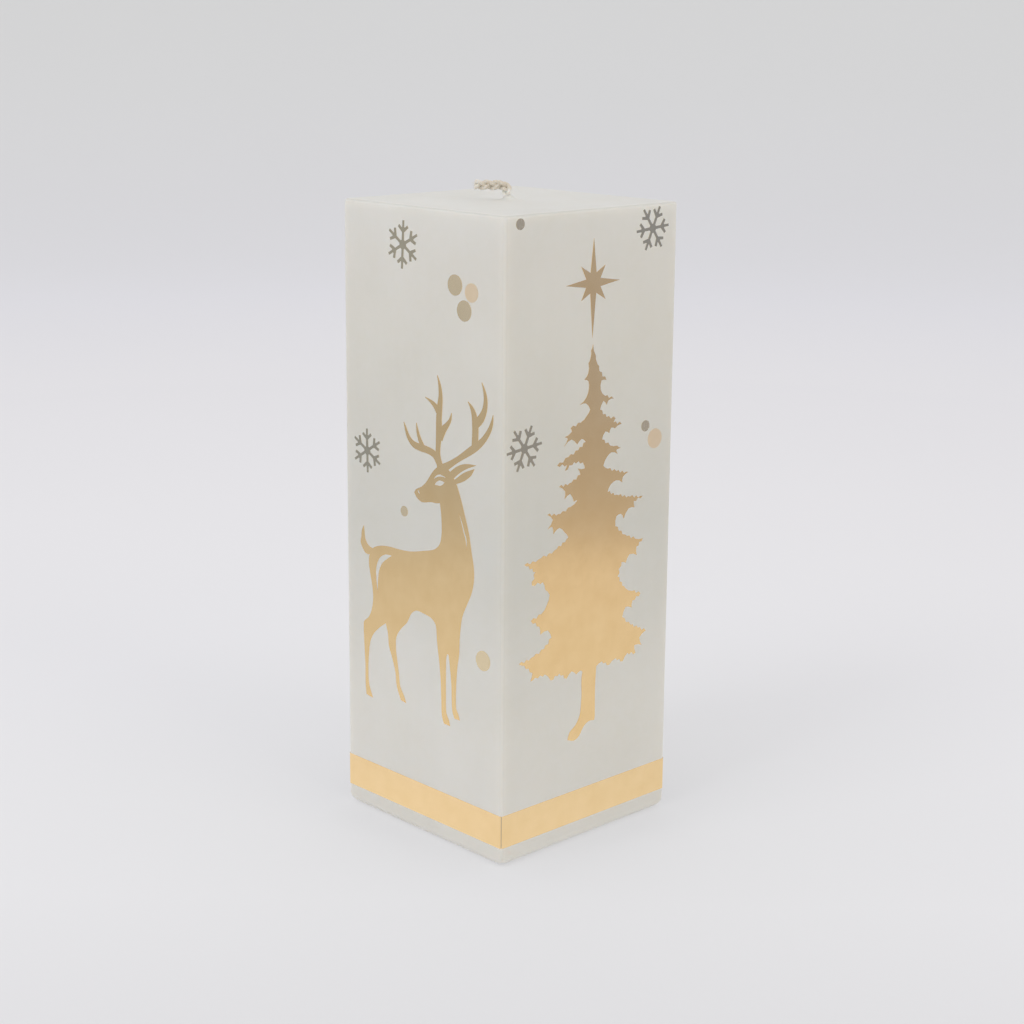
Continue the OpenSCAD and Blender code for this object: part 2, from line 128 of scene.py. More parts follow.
class Shader:
    """A material's node tree, with short ways to add what the looks need. Places are object coordinates."""

    def __init__(self, name):
        self.material = bpy.data.materials.new(name)
        self.material.use_nodes = True
        self.nodes = self.material.node_tree.nodes
        self.links = self.material.node_tree.links
        self.surface = self.nodes["Principled BSDF"]
        self.place = self.nodes.new("ShaderNodeTexCoord").outputs["Object"]

    def set(self, **values):
        """Constant values of the surface: names with _ for spaces."""
        for name, value in values.items():
            self.surface.inputs[name.replace("_", " ")].default_value = value

    def link(self, source, socket):
        self.links.new(source, self.surface.inputs[socket])

    def add(self, kind, inputs=(), **settings):
        """A new node. An input is either another node's output or a constant."""
        node = self.nodes.new(kind)
        for name, value in settings.items():
            setattr(node, name, value)
        for name, value in dict(inputs).items():
            if isinstance(value, bpy.types.NodeSocket):
                self.links.new(value, node.inputs[name])
            else:
                node.inputs[name].default_value = value
        return node

    def stretched(self, scale):
        return self.add("ShaderNodeMapping", {"Vector": self.place, "Scale": scale}).outputs["Vector"]

    def noise(self, size, detail=3.0, place=None, roughness=0.5, distortion=0.0):
        """Noise with features about size metres across, 0 to 1."""
        inputs = {
            "Vector": place or self.place,
            "Scale": 1 / size,
            "Detail": detail,
            "Roughness": roughness,
            "Distortion": distortion,
        }
        return self.add("ShaderNodeTexNoise", inputs).outputs["Fac"]

    def span(self, value, low, high, to_low=0.0, to_high=1.0):
        """Maps low..high to to_low..to_high, and holds the ends."""
        inputs = {"Value": value, "From Min": low, "From Max": high, "To Min": to_low, "To Max": to_high}
        return self.add("ShaderNodeMapRange", inputs).outputs["Result"]

    def spread(self, noise_value, to_low=0.0, to_high=1.0):
        """Stretches the values that most of a noise has over to_low..to_high."""
        return self.span(noise_value, 0.3, 0.7, to_low, to_high)

    def math(self, operation, a, b):
        return self.add("ShaderNodeMath", {0: a, 1: b}, operation=operation).outputs["Value"]

    def mix(self, factor, a, b, blend="MIX"):
        """Colour a where factor is 0, and b, or a blended with b, where it is 1."""
        inputs = {0: factor, 6: a, 7: b}
        return self.add("ShaderNodeMix", inputs, data_type="RGBA", blend_type=blend).outputs[2]

    def tones(self, value, stops):
        """The colour at value, 0 to 1, along stops of (place, colour)."""
        node = self.add("ShaderNodeValToRGB", {"Fac": value})
        ramp = node.color_ramp
        while len(ramp.elements) < len(stops):
            ramp.elements.new(0.5)
        for element, (place, colour) in zip(ramp.elements, stops):
            element.position = place
            element.color = rgb(*colour)
        return node.outputs["Color"]

    def tones_outwards(self, stops, whole):
        """The colour by distance out along the floor and up a wall, along stops of (metres, colour)."""
        out = self.span(self.math("ADD", self.reach(), self.height()), 0, whole)
        return self.tones(out, [(distance / whole, colour) for distance, colour in stops])

    def axis(self, name):
        """The place's X, Y or Z."""
        return self.add("ShaderNodeSeparateXYZ", {"Vector": self.place}).outputs[name]

    def height(self):
        return self.axis("Z")

    def reach(self):
        """Distance from the upright axis."""
        inputs = {0: self.place, 1: (1, 1, 0)}
        flat = self.add("ShaderNodeVectorMath", inputs, operation="MULTIPLY").outputs[0]
        return self.add("ShaderNodeVectorMath", {0: flat}, operation="LENGTH").outputs["Value"]

    def facing_up(self):
        """How far the surface turns up: 0 for an upright face, 1 for a level one."""
        normal = self.add("ShaderNodeTexCoord").outputs["Normal"]
        return self.add("ShaderNodeSeparateXYZ", {"Vector": normal}).outputs["Z"]

    def bump(self, height, distance, strength=1.0, below=None):
        inputs = {"Height": height, "Distance": distance, "Strength": strength}
        if below is not None:
            inputs["Normal"] = below
        return self.add("ShaderNodeBump", inputs).outputs["Normal"]


# ---- Materials ----

WAX_DEEP = rgb(0.783, 0.762, 0.695)
WAX_LIGHT = rgb(0.812, 0.794, 0.737)
WAX_CRYSTAL = rgb(0.84, 0.82, 0.785)
WAX_STREAK = rgb(0.72, 0.695, 0.635)
# Painted shade of the wax from its foot to its top, darkest at mid-height and a little on the top face:
# part of the height, colour
WAX_PAINTED_SHADE = [
    (0.0, (0.955, 0.95, 0.95)),
    (0.2, (0.975, 0.975, 0.98)),
    (0.5, (0.875, 0.88, 0.875)),
    (0.8, (0.93, 0.925, 0.91)),
    (0.93, (0.955, 0.95, 0.95)),
    (0.994, (0.97, 0.975, 0.985)),
    (0.998, (0.925, 0.93, 0.945)),
    (1.0, (0.925, 0.93, 0.945)),
]
# Painted shade of the wax by how far a surface turns up, deepest on the rounded rim where light gathers:
# upright faces, the rounded rim, the top
WAX_RIM_PAINTED_SHADE = [
    (0.0, (1.0, 1.0, 1.0)),
    (0.1, (1.0, 1.0, 1.0)),
    (0.5, (0.90, 0.90, 0.90)),
    (0.85, (0.80, 0.80, 0.80)),
    (0.97, (0.86, 0.86, 0.86)),
    (0.995, (1.0, 1.0, 1.0)),
]
# How dark the painted shade on the upright edges and in the band's seams is, 0 to 1
EDGE_PAINTED_SHADE = 0.05
SEAM_PAINTED_SHADE = 0.7


def wax_tint(s, clouds, crystals):
    """Ivory with soft clouds, a crystal mottle and streaks where it ran down the mould."""
    flow = s.noise(9 * MM, 3.0, place=s.stretched((1, 1, 0.12)))
    tint = s.mix(s.spread(clouds), WAX_DEEP, WAX_LIGHT)
    tint = s.mix(s.span(crystals, 0.42, 0.7, 0.0, 0.22), tint, WAX_CRYSTAL)
    return s.mix(s.span(flow, 0.4, 0.75, 0.0, 0.12), tint, WAX_STREAK)


def painted_seam_shade(s):
    """Painted shade in the seams between the band's strips: the wax is dark wherever the band covers it."""
    above_foot = s.span(s.height(), band_lo.z + 0.1 * MM, band_lo.z + 0.2 * MM)
    below_top = s.span(s.height(), band_hi.z - 0.1 * MM, band_hi.z - 0.2 * MM)
    return s.math("MULTIPLY", s.math("MULTIPLY", above_foot, below_top), SEAM_PAINTED_SHADE)


def wax_material():
    """Ivory wax: light scatters inside it, with soft clouds, a faint crystal mottle and a satin skin, and
    painted shade at mid-height, on the rim, on the upright edges and under the band.
    """
    s = Shader("wax")
    clouds = s.noise(28 * MM, 2.0, roughness=0.4)
    crystals = s.noise(3.2 * MM, 6.0, roughness=0.62, distortion=0.6)
    grain = s.noise(0.5 * MM, 2.0)
    # Painted shade by height: the middle of the block is a little darker than its top and its foot, as if
    # less light reached it
    painted_height_shade = s.tones(s.span(s.height(), 0, HEIGHT), WAX_PAINTED_SHADE)
    tint = s.mix(1.0, wax_tint(s, clouds, crystals), painted_height_shade, "MULTIPLY")
    # Light gathers along the edges, and a painted shade there evens it, but not by the wick
    away_from_wick = s.span(s.reach(), 0.3 * HALF, 0.6 * HALF)
    tint = s.mix(away_from_wick, tint, s.tones(s.facing_up(), WAX_RIM_PAINTED_SHADE), "MULTIPLY")
    # Painted shade along the upright edges evens the bright line that light makes there
    edge = s.span(s.reach(), EDGE_REACH - 0.5 * MM, EDGE_REACH - 0.2 * MM, 0, EDGE_PAINTED_SHADE)
    s.link(s.mix(s.math("MAXIMUM", edge, painted_seam_shade(s)), tint, BLACK), "Base Color")
    s.set(
        Subsurface_Weight=0.9,
        Subsurface_Radius=(1.0, 0.92, 0.84),
        Subsurface_Scale=3 * MM,
        Subsurface_Anisotropy=0.2,
        IOR=1.44,
        Specular_IOR_Level=0.2,
    )
    s.link(s.math("ADD", s.spread(clouds, 0.5, 0.6), s.spread(grain, -0.03, 0.03)), "Roughness")
    relief = s.bump(s.noise(11 * MM, 2.0), 0.25 * MM, 0.3)
    relief = s.bump(crystals, 0.05 * MM, 0.35, relief)
    relief = s.bump(grain, 0.012 * MM, 0.5, relief)
    s.link(relief, "Normal")
    return s.material


def foil_material(name, colour, deep, roughness, wrinkle):
    """Gold foil: metal with a slightly uneven tone, fine rolling lines and a soft lie on the wax."""
    s = Shader(name)
    cloud = s.noise(7 * MM, 3.0)
    lines = s.noise(0.35 * MM, 2.0, place=s.stretched((1, 1, 0.06)))
    s.link(s.mix(s.spread(cloud), rgb(*colour), rgb(*deep)), "Base Color")
    s.set(Metallic=1.0, Specular_IOR_Level=0.5)
    worn = s.math("ADD", cloud, lines)
    s.link(s.span(worn, 0.6, 1.4, roughness - 0.03, roughness + 0.05), "Roughness")
    relief = s.bump(s.noise(14 * MM, 1.0), wrinkle, 0.5)
    relief = s.bump(s.noise(1.3 * MM, 3.0), 0.008 * MM, 0.5, relief)
    relief = s.bump(lines, 0.002 * MM, 0.5, relief)
    s.link(relief, "Normal")
    return s.material


COTTON_DEEP = rgb(0.60, 0.52, 0.42)
COTTON_LIGHT = rgb(0.79, 0.73, 0.63)
COTTON_PATCH = rgb(0.75, 0.72, 0.65)
COTTON_WAXED = rgb(0.88, 0.865, 0.82)


def cotton_material():
    """Cotton yarn, cream with fine fibres. It is paler where wax has soaked its foot and sealed its tip."""
    s = Shader("cotton")
    fibres = s.noise(0.12 * MM, 4.0, distortion=1.2)
    patches = s.noise(1.6 * MM, 2.0)
    tint = s.mix(s.spread(fibres), COTTON_DEEP, COTTON_LIGHT)
    tint = s.mix(s.span(patches, 0.45, 0.75, 0.0, 0.5), tint, COTTON_PATCH)
    sealed = s.span(s.reach(), TIP_REACH - 3.4 * MM, TIP_REACH - 0.8 * MM, 0, 0.5)
    soaked = s.span(s.height(), HEIGHT + 3.5 * MM, HEIGHT + 2.6 * MM)
    waxed = s.math("MAXIMUM", sealed, soaked)
    s.link(s.mix(s.math("MULTIPLY", waxed, 0.9), tint, COTTON_WAXED), "Base Color")
    s.set(Subsurface_Weight=0.3, Subsurface_Radius=(1.0, 0.8, 0.6), Subsurface_Scale=0.5 * MM)
    s.link(s.span(s.math("ADD", patches, waxed), 0.3, 1.5, 0.75, 0.4), "Roughness")
    s.link(s.bump(fibres, 0.05 * MM, 0.6), "Normal")
    return s.material


TIN_DARK = rgb(0.62, 0.62, 0.60)
TIN_LIGHT = rgb(0.74, 0.74, 0.72)
TIN_STAIN = rgb(0.46, 0.43, 0.38)


def tin_material():
    """Tin-plated sheet: grey metal with spangle, fine scratches and a little staining."""
    s = Shader("tinplate")
    spangle = s.add("ShaderNodeTexVoronoi", {"Vector": s.place, "Scale": 1 / (1.4 * MM)}).outputs["Color"]
    tone = s.add("ShaderNodeSeparateColor", {"Color": spangle}).outputs["Red"]
    scratches = s.noise(0.2 * MM, 3.0, place=s.stretched((1, 0.05, 1)))
    stain = s.noise(4 * MM, 4.0)
    tint = s.mix(tone, TIN_DARK, TIN_LIGHT)
    s.link(s.mix(s.span(stain, 0.55, 0.75, 0.0, 0.4), tint, TIN_STAIN), "Base Color")
    s.set(Metallic=1.0)
    s.link(s.span(s.math("ADD", tone, scratches), 0.4, 1.6, 0.24, 0.44), "Roughness")
    s.link(s.bump(scratches, 0.006 * MM, 0.5), "Normal")
    return s.material


PAPER_DEEP = rgb(0.39, 0.39, 0.39)
PAPER_LIGHT = rgb(0.405, 0.405, 0.405)
# Painted glow of the sweep from its middle out along the floor and up the wall, lower by the candle as a
# painted shadow and dimmer far out as painted shade: distance in metres, colour
SWEEP_PAINTED_LIGHT = [
    (0.0, (0.38, 0.38, 0.392)), (0.2, (0.424, 0.418, 0.44)), (0.43, (0.433, 0.423, 0.444)),
    (0.7, (0.426, 0.415, 0.437)), (1.16, (0.392, 0.386, 0.42)), (1.6, (0.358, 0.354, 0.373)),
    (1.9, (0.346, 0.346, 0.352)), (2.4, (0.333, 0.335, 0.33)),
]


def paper_material():
    """The pale sweep that the candle stands on, glowing with painted light as if lit from behind on a light
    table, which softens shadows on it.
    """
    s = Shader("paper")
    s.link(s.mix(s.noise(0.35, 2.0), PAPER_DEEP, PAPER_LIGHT), "Base Color")
    s.set(Roughness=0.85, Specular_IOR_Level=0.2, Emission_Strength=1.0)
    glow = s.tones_outwards(SWEEP_PAINTED_LIGHT, SWEEP_PAINTED_LIGHT[-1][0])
    # Painted shade: the glow fades a little towards the front
    front = s.span(s.math("SUBTRACT", s.axis("X"), s.axis("Y")), 0.1, 0.23, 0, 0.13)
    s.link(s.mix(front, glow, BLACK), "Emission Color")
    s.link(s.bump(s.noise(1.2 * MM, 2.0), 0.05 * MM, 0.1), "Normal")
    return s.material


# ---- Camera ----

# Angles are in radians, the distance and the aim follow the block's width, the lens and the sensor are
# in millimetres, and the shift is a part of the picture's width
CAMERA_AZIMUTH = 0.8101
CAMERA_ELEVATION = 0.2176
CAMERA_ROLL = 0.0077
CAMERA_DISTANCE = 8.585 * 2 * HALF
CAMERA_AIM_RIGHT = 0.0154 * 2 * HALF
CAMERA_AIM_UP = 1.6322 * 2 * HALF
CAMERA_LENS = 69.6
CAMERA_SENSOR = 36
CAMERA_SHIFT = -0.0605


def add_camera():
    ca, sa = math.cos(CAMERA_AZIMUTH), math.sin(CAMERA_AZIMUTH)
    ce, se = math.cos(CAMERA_ELEVATION), math.sin(CAMERA_ELEVATION)
    back = Vector((sa * ce, -ca * ce, se))
    right = Vector((ca, sa, 0))
    up = back.cross(right)
    cr, sr = math.cos(CAMERA_ROLL), math.sin(CAMERA_ROLL)
    turn = Matrix((right * cr + up * sr, up * cr - right * sr, back)).transposed().to_4x4()
    aim = right * CAMERA_AIM_RIGHT + Vector((0, 0, CAMERA_AIM_UP))
    data = bpy.data.cameras.new("camera")
    data.lens = CAMERA_LENS
    data.sensor_width = CAMERA_SENSOR
    data.shift_y = CAMERA_SHIFT
    data.clip_start = 0.01
    data.clip_end = 20
    camera = bpy.data.objects.new("camera", data)
    camera.matrix_world = Matrix.Translation(aim + back * CAMERA_DISTANCE) @ turn
    bpy.context.scene.collection.objects.link(camera)
    bpy.context.scene.camera = camera


# ---- Wax block ----

# Points along a side and round a corner of each ring, and rings along each stretch of the outline
SIDE_POINTS = 44
CORNER_POINTS = 8
BASE_RINGS = 10
FOOT_RINGS = 8
WALL_RINGS = 126
RIM_RINGS = 6
TOP_RINGS = 45
BORE_RINGS = 12
RECESS_RINGS = 5
# How much rounder the upright edges are where they meet the base
FOOT_SPREAD = 3 * MM
# Depth of the dish in the top, and the cone of wax on the wick: height, reach, lean and how far it
# grips into the wick
DISH = 0.25 * MM
CONE_HEIGHT = 1.5 * MM
CONE_REACH = 1.1 * MM
CONE_LEAN = 0.7 * MM
CONE_GRIP = 0.05 * MM
# The wax closes on the wick down to this depth, but for a pinhole of this radius in the middle
PINHOLE = 0.05 * MM
PINHOLE_DEPTH = 6 * MM
# How far the faces lie hollow, and the distance over which that changes
SAG = 0.035 * MM
SAG_SIZE = 17 * MM


def square_ring(half, radius, roundness):
    """Points round a square with rounded corners; roundness 1 makes it a circle of radius half."""
    points = []
    for quarter in range(4):
        turn = Matrix.Rotation(quarter * math.pi / 2, 2)
        flat = half - radius
        for i in range(SIDE_POINTS):
            points.append(turn @ Vector((half, -flat + 2 * flat * i / SIDE_POINTS)))
        for i in range(CORNER_POINTS):
            a = i / CORNER_POINTS * math.pi / 2
            points.append(turn @ Vector((flat + radius * math.cos(a), flat + radius * math.sin(a))))
    return [p.lerp(p.normalized() * half, roundness) for p in points]


def outer_rows():
    """The outline from the recess out along the base, round the foot, up the wall and over the rim."""
    rows = []
    foot_flat = HALF - FOOT_RADIUS
    for i in range(BASE_RINGS):
        t = i / BASE_RINGS
        half = RECESS_RADIUS + (foot_flat - RECESS_RADIUS) * t
        rows.append((half, 0, EDGE_RADIUS + FOOT_SPREAD, 1 - smooth(t * 1.25), 0))
    for i in range(FOOT_RINGS + 1):
        a = i / FOOT_RINGS * math.pi / 2
        half = foot_flat + FOOT_RADIUS * math.sin(a)
        radius = EDGE_RADIUS + FOOT_SPREAD * (1 - math.sin(a))
        rows.append((half, FOOT_RADIUS * (1 - math.cos(a)), radius, 0, 0))
    low, high = FOOT_RADIUS, HEIGHT - TOP_RADIUS
    for i in range(1, WALL_RINGS):
        rows.append((HALF, low + (high - low) * i / WALL_RINGS, EDGE_RADIUS, 0, 0))
    for i in range(RIM_RINGS + 1):
        a = i / RIM_RINGS * math.pi / 2
        half = HALF - TOP_RADIUS * (1 - math.cos(a))
        rows.append((half, high + TOP_RADIUS * math.sin(a), EDGE_RADIUS, 0, 0))
    return rows


def top_rows():
    """The outline from the rim in over the dished top and up the cone, to the pinhole."""
    rows = []
    inner = BORE_RADIUS - CONE_GRIP
    for i in range(1, TOP_RINGS + 1):
        t = i / TOP_RINGS
        half = inner + (HALF - TOP_RADIUS - inner) * (1 - t) ** 2.2
        cone = math.exp(-(half - inner) / CONE_REACH)
        z = HEIGHT - DISH * smooth((1 - half / HALF) * 2) + CONE_HEIGHT * cone
        rows.append((half, z, min(EDGE_RADIUS, half * 0.5), smooth(1.4 * t - 0.2), CONE_LEAN * cone))
    rows.append((PINHOLE, rows[-1][1], 0, 1, CONE_LEAN))
    return rows


def bore_rows():
    """The outline down the bore, and through the sustainer's neck to the roof of the recess."""
    top, foot = HEIGHT - PINHOLE_DEPTH, disc_hi.z
    path = [(PINHOLE, top)]
    path += [(BORE_RADIUS, top + (foot - top) * i / BORE_RINGS) for i in range(BORE_RINGS + 1)]
    path += [(NECK_RADIUS, foot), (NECK_RADIUS, RECESS_DEPTH)]
    for i in range(1, RECESS_RINGS + 1):
        path.append((NECK_RADIUS + (RECESS_RADIUS - NECK_RADIUS) * i / RECESS_RINGS, RECESS_DEPTH))
    return [(half, z, 0, 1, 0) for half, z in path]


def wax_block():
    """The cast block: its faces are very slightly hollow and wavy, and a cone of wax climbs the wick."""
    # Each row is a ring's half-width, height, corner radius, roundness and lean
    rows = outer_rows() + top_rows() + bore_rows()
    around = 4 * (SIDE_POINTS + CORNER_POINTS)
    points = []
    for half, z, radius, roundness, lean in rows:
        on_wall = half >= HALF - 0.01 * MM
        on_top = z > HEIGHT - 2 * MM and half > 4 * MM
        for p in square_ring(half, min(radius, half), roundness):
            place = Vector((p.x, p.y, z)) + WICK_WAY * lean
            sag = SAG * (1 + noise.noise(place / SAG_SIZE))
            if on_wall:
                place -= Vector((p.x, p.y, 0)).normalized() * sag
            elif on_top:
                place.z -= sag
            points.append(place)
    block = make_object("wax_block", points, ring_faces(len(rows), around, True), math.radians(50))
    block.data.materials.append(wax_material())
    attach(block, ROOT)
    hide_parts("candle_body")
    return block


# ---- Wick ----

STRANDS = 3
PLAIT_HALF_WIDTH = 0.7 * MM
PLAIT_HALF_DEPTH = 0.55 * MM
PLAIT_PITCH = 9 * MM
STRAND_RADIUS = 0.6 * MM
STRAND_FLATNESS = 0.85
STRAND_SIDES = 24
# Each strand has three twisted plies: length of one turn, and depth of the furrows between them as a
# part of the strand's radius
PLY_PITCH = 7 * MM
PLY_FURROW = 0.17
# The end sealed in wax, where the furrows fade, and the radius of the strands' rounded ends
SEAL_LENGTH = 2.6 * MM
SEAL_ROUND = 0.55 * MM
# The exposed end is thicker than the part in the bore
TIP_SWELL = 0.2
TIP_LENGTH = 12 * MM
# Steps along the wick, in the open and in the bore
FINE_STEP = 0.13 * MM
COARSE_STEP = 0.55 * MM
# The free tip: distance from the wick's axis and height above the wax, in millimetres
TIP_SHAPE = [
    (0.0, -2.0), (0.35, -0.4), (0.8, 1.0), (1.05, 2.1), (1.2, 3.2), (1.9, 4.05), (3.2, 4.25), (6.0, 4.25),
    (8.6, 4.27), (TIP_REACH / MM + 0.1, 4.3),
]
# Loose fibres: how many, how many of those at the cut tip, their radius and their sides
FIBRES = 26
TIP_FIBRES = 10
FIBRE_RADIUS = 0.022 * MM
FIBRE_SIDES = 4


def wick_route():
    """The wick's middle line: up the bore, over a short bend, and a tip that lies over the wax."""
    shape = [(0, WICK_FOOT), (0, 60 * MM), (0, 120 * MM), (0, HEIGHT - 5 * MM)]
    shape += [(x * MM, HEIGHT + z * MM) for x, z in TIP_SHAPE]
    return [WICK_WAY * x + Vector((0, 0, z)) for x, z in shape]


def curve_points(knots, step_at):
    """Points along a smooth curve through the knots; step_at(point) is the step there."""
    samples = []
    for i in range(len(knots) - 1):
        a, b = knots[i], knots[i + 1]
        before, after = knots[max(i - 1, 0)], knots[min(i + 2, len(knots) - 1)]
        span = (b - a).length
        da = (b - before) * (span / (b - before).length)
        db = (after - a) * (span / (after - a).length)
        count = max(2, round(span / step_at((a + b) / 2)))
        for k in range(count):
            t = k / count
            samples.append(
                a * (2 * t**3 - 3 * t**2 + 1)
                + da * (t**3 - 2 * t**2 + t)
                + b * (3 * t**2 - 2 * t**3)
                + db * (t**3 - t**2)
            )
    samples.append(knots[-1])
    return samples


def frames(points, across):
    """At each point: the distance along the line, the point, and two directions across it without twist."""
    found = []
    along = 0.0
    last = len(points) - 1
    for i, p in enumerate(points):
        tangent = (points[min(i + 1, last)] - points[max(i - 1, 0)]).normalized()
        across = (across - tangent * across.dot(tangent)).normalized()
        found.append((along, p, across, tangent.cross(across)))
        if i < last:
            along += (points[i + 1] - p).length
    return found


def tube(points, faces, line, sides, radius_at):
    """Adds a closed tube along line, a list as frames() gives it. radius_at(distance along, angle)."""
    start = len(points)
    for along, p, side, up in line:
        for i in range(sides):
            a = TURN * i / sides
            points.append(p + (side * math.cos(a) + up * math.sin(a)) * radius_at(along, a))
    faces += [tuple(start + v for v in f) for f in ring_faces(len(line), sides, False)]
    for ring, ahead in ((0, False), (len(line) - 1, True)):
        middle = len(points)
        points.append(line[ring][1].copy())
        first = start + ring * sides
        for i in range(sides):
            a, b = first + i, first + (i + 1) % sides
            faces.append((a, b, middle) if ahead else (b, a, middle))


def plaited_wick():
    """Three cotton strands plaited flat, each of three twisted plies, with a tip sealed in wax."""
    fine_from = HEIGHT - 3 * MM
    route = curve_points(wick_route(), lambda p: FINE_STEP if p.z > fine_from else COARSE_STEP)
    line = frames(route, WICK_WAY)
    whole = line[-1][0]

    def swell(along):
        return 1 + TIP_SWELL * smooth((along - whole + TIP_LENGTH) / (2 * MM))

    def furrow(along, a):
        """Depth of the furrow between two plies, as a part of the strand's radius."""
        sealed = smooth((along - whole + SEAL_LENGTH) / (0.5 * SEAL_LENGTH))
        between = 1 - abs(math.cos(1.5 * (a + TURN * along / PLY_PITCH)))
        return PLY_FURROW * between * (1 - 0.8 * sealed)

    def radius_at(along, a):
        to_end = min(along, whole - along) + 0.02 * MM
        rounding = math.sqrt(1 - (1 - min(1, to_end / SEAL_ROUND)) ** 2)
        return swell(along) * STRAND_RADIUS * (1 - furrow(along, a)) * rounding

    points, faces = [], []
    for k in range(STRANDS):
        strand = []
        for along, p, side, up in line:
            turn = TURN * (along / PLAIT_PITCH + k / STRANDS)
            wide = side * PLAIT_HALF_WIDTH * swell(along) * math.sin(turn)
            deep = up * PLAIT_HALF_DEPTH * swell(along) * math.sin(2 * turn)
            strand.append((along, p + wide + deep, side, up * STRAND_FLATNESS))
        tube(points, faces, strand, STRAND_SIDES, radius_at)
    add_fibres(points, faces, [f for f in line if f[1].z > HEIGHT + 3 * MM])
    wick = make_object("plaited_wick", points, faces, math.radians(80))
    wick.data.materials.append(cotton_material())
    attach(wick, ROOT)
    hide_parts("wick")
    return wick


def add_fibres(points, faces, exposed):
    """Short loose fibres, at the cut tip and along the free part."""
    random.seed(7)
    tip = exposed[-3:]
    for n in range(FIBRES):
        at_tip = n < TIP_FIBRES
        _, p, side, up = random.choice(tip if at_tip else exposed)
        tangent = side.cross(up)
        a = random.uniform(0, TURN)
        out = side * math.cos(a) + up * math.sin(a)
        start = p + out * random.uniform(0.1, 0.6) * MM if at_tip else p + out * 0.8 * MM
        way = (tangent * random.uniform(0.6, 1.2) + out * random.uniform(0.3, 0.9)).normalized()
        length = random.uniform(0.4, 0.8) * MM if at_tip else random.uniform(0.6, 1.2) * MM
        curl = Vector([random.uniform(-0.5, 0.5) for _ in range(3)])
        thread = [start + (way * t + curl * t * t) * length for t in (0, 0.34, 0.67, 1)]
        line = frames(thread, out.cross(way))
        tube(points, faces, line, FIBRE_SIDES, lambda along, a: FIBRE_RADIUS)


# ---- Wick sustainer ----

SHEET = 0.35 * MM
DISC_POINTS = 128
NECK_OUT = NECK_RADIUS - 0.03 * MM
NECK_IN = NECK_RADIUS - 0.36 * MM
# Radii of the rings between the neck and the rim, and heights of those up the neck, in millimetres
DISC_RADII = [
    2.8, 3.2, 3.6, 4, 4.6, 5.2, 5.8, 6.3, 6.8, 7.2, 7.6,
    7.9, 8.1, 8.3, 8.5, 8.7, 8.9, 9.1, 9.3, 9.6, 9.9,
]
NECK_HEIGHTS = [1.4, 2.2, 2.8, 3.4, 4, 4.6, 5.2, 5.8]
# The pressed ring and the ribs inside it
RING_RADIUS = 8.6 * MM
RING_HALF_WIDTH = 0.7 * MM
RING_HEIGHT = 0.18 * MM
RIBS = 8
RIB_HEIGHT = 0.2 * MM
RIB_START = 3 * MM
RIB_END = 7.6 * MM
RIB_FADE = 1 * MM
# The crimp: its height above the disc's underside, its half-height and its depth
CRIMP_PLACE = 4 * MM
CRIMP_HALF = 1.3 * MM
CRIMP_DEPTH = 0.12 * MM


def pressed_up(r, a):
    """How far the ribs and the ring are pressed up at radius r, angle a."""
    ring = smooth(1 - abs(r - RING_RADIUS) / RING_HALF_WIDTH) * RING_HEIGHT
    inside = smooth((r - RIB_START) / RIB_FADE) * smooth((RIB_END - r) / RIB_FADE)
    rib = smooth(0.5 + 0.9 * math.cos(RIBS * a)) * inside * RIB_HEIGHT
    return ring + rib


def sustainer_outline():
    """Radius and height round the sheet: down the neck's bore, out below, in above and up the neck.

    The second value is how many of the points are on its underside.
    """
    base = disc_lo.z
    top = base + SHEET
    rim = disc_hi.x
    neck_top = disc_hi.z - 0.02 * MM
    below = [(NECK_IN, neck_top), (NECK_IN, base + 3 * MM), (NECK_IN, base + 1.1 * MM)]
    below += [(NECK_IN + 0.1 * MM, base + 0.4 * MM), (NECK_IN + 0.5 * MM, base)]
    below += [(r * MM, base) for r in [2.3] + DISC_RADII]
    below += [(rim - 0.3 * MM, base), (rim - 0.1 * MM, base + 0.06 * MM), (rim, base + 0.2 * MM)]
    above = [(rim - 0.08 * MM, top), (rim - 0.3 * MM, top)]
    above += [(r * MM, top) for r in DISC_RADII[::-1] + [2.4]]
    above += [(NECK_OUT + 0.25 * MM, top + 0.03 * MM), (NECK_OUT, top + 0.3 * MM)]
    above += [(NECK_OUT, base + z * MM) for z in NECK_HEIGHTS]
    above += [(NECK_OUT, neck_top)]
    return below + above, len(below)


def sustainer():
    """Pressed disc with radial ribs and a rolled rim, and a neck crimped round the wick."""
    outline, under = sustainer_outline()
    rim = disc_hi.x
    points = []
    for n, (r, z) in enumerate(outline):
        to_crimp = abs(z - disc_lo.z - CRIMP_PLACE)
        for i in range(DISC_POINTS):
            a = TURN * i / DISC_POINTS
            crimp = smooth(1 - to_crimp / CRIMP_HALF) * max(0.0, math.cos(2 * a)) ** 4
            reach = r - (CRIMP_DEPTH * crimp if r <= NECK_OUT else 0)
            lift = pressed_up(r, a) if 2.2 * MM < r < rim - 0.2 * MM else 0
            if n < under:
                lift = min(lift, SHEET)
            points.append(Vector((reach * math.cos(a), reach * math.sin(a), z + lift)))
    faces = ring_faces(len(outline), DISC_POINTS, True)
    disc = make_object("pressed_sustainer", points, faces, math.radians(40))
    disc.data.materials.append(tin_material())
    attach(disc, ROOT)
    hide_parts("wick_sustainer")
    return disc


# ---- Foil ----

